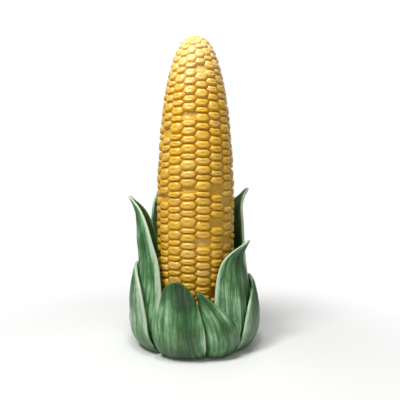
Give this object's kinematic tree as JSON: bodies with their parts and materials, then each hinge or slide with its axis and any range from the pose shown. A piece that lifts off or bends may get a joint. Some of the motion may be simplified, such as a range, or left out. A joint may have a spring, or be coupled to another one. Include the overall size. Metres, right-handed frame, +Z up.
{
  "type": "ceramic corn on the cob sculpture",
  "caption": "Glazed ceramic ear of corn standing upright in a bulb of peeled husk leaves, larger than life, as a display sculpture.",
  "frame": {"origin": "middle of the foot's flat underside, on the ear's axis", "axes": "+Z up along the ear; -Y is the front, where the two lowest husk leaves meet; +X is to the right seen from the front"},
  "size_m": [0.4532, 0.4464, 1.06],
  "materials": {
    "kernel_glaze": "golden yellow satin glaze",
    "leaf_glaze": "green satin glaze, streaked pale on the ribs and dark in the grooves",
    "bare_clay": "unglazed buff clay"
  },
  "bodies": {
    "root": {"foot": "bare_clay", "ear": "kernel_glaze", "leaf_right": "leaf_glaze", "leaf_right_back": "leaf_glaze", "leaf_left_back": "leaf_glaze", "leaf_left": "leaf_glaze", "husk_front_left": "leaf_glaze", "husk_front": "leaf_glaze", "husk_right": "leaf_glaze", "husk_back_right": "leaf_glaze", "husk_back_left": "leaf_glaze", "husk_left": "leaf_glaze"}
  },
  "joints": []
}
